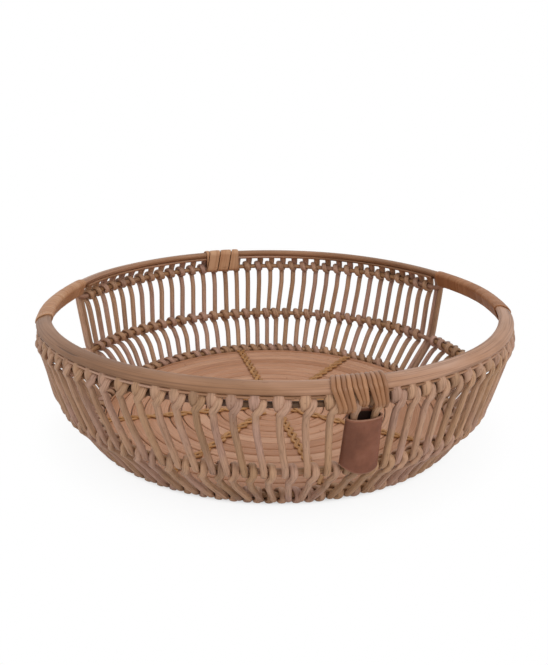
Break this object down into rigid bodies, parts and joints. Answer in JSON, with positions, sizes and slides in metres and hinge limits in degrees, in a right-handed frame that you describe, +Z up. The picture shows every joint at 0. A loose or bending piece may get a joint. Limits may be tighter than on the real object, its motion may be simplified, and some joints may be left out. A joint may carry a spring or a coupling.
{
  "type": "tray",
  "caption": "Round open-work rattan tray with sloping walls of wrapped strands, two hand holes under a wound rim, a coiled cane floor and a leather sleeve.",
  "frame": {"origin": "on the surface the tray stands on, under the centre of its rings", "axes": "+Z up, out of the open top; +X to one hand hole and -X to the other; -Y to the front, with the leather sleeve"},
  "size_m": [0.4086, 0.4147, 0.1123],
  "materials": {
    "rim_pole": "peeled rattan pole with fine lengthwise grain",
    "rattan_core": "matt rattan core, beige to pinkish grey, uneven from strand to strand",
    "floor_cane": "smooth flat cane, salmon brown",
    "wrap_cane": "glossy warm brown cane bark",
    "leather": "reddish brown leather, plain"
  },
  "bodies": {
    "root": {"back_binding": "wrap_cane", "back_left_post": "rattan_core", "back_right_post": "rattan_core", "back_rim_liner": "rim_pole", "back_strands_1": "rattan_core", "back_strands_2": "rattan_core", "back_strands_3": "rattan_core", "back_strands_4": "rattan_core", "back_strands_5": "rattan_core", "back_strands_6": "rattan_core", "back_strands_7": "rattan_core", "back_strands_8": "rattan_core", "base_hoop": "rattan_core", "floor_coil": "floor_cane", "floor_seam_1": "wrap_cane", "floor_seam_2": "wrap_cane", "floor_seam_3": "wrap_cane", "floor_seam_4": "wrap_cane", "floor_seam_5": "wrap_cane", "floor_seam_6": "wrap_cane", "floor_seam_7": "wrap_cane", "floor_seam_8": "wrap_cane", "front_binding": "wrap_cane", "front_left_post": "rattan_core", "front_right_post": "rattan_core", "front_rim_liner": "rim_pole", "front_strands_1": "rattan_core", "front_strands_2": "rattan_core", "front_strands_3": "rattan_core", "front_strands_4": "rattan_core", "front_strands_5": "rattan_core", "front_strands_6": "rattan_core", "front_strands_7": "rattan_core", "front_strands_8": "rattan_core", "front_strands_9": "rattan_core", "leather_sleeve": "leather", "left_grip_wrap": "wrap_cane", "left_short_strands_1": "rattan_core", "left_short_strands_2": "rattan_core", "middle_hoop": "rattan_core", "right_grip_wrap": "wrap_cane", "right_short_strands_1": "rattan_core", "right_short_strands_2": "rattan_core", "rim_pole": "rim_pole", "top_hoop": "rattan_core"}
  },
  "joints": []
}
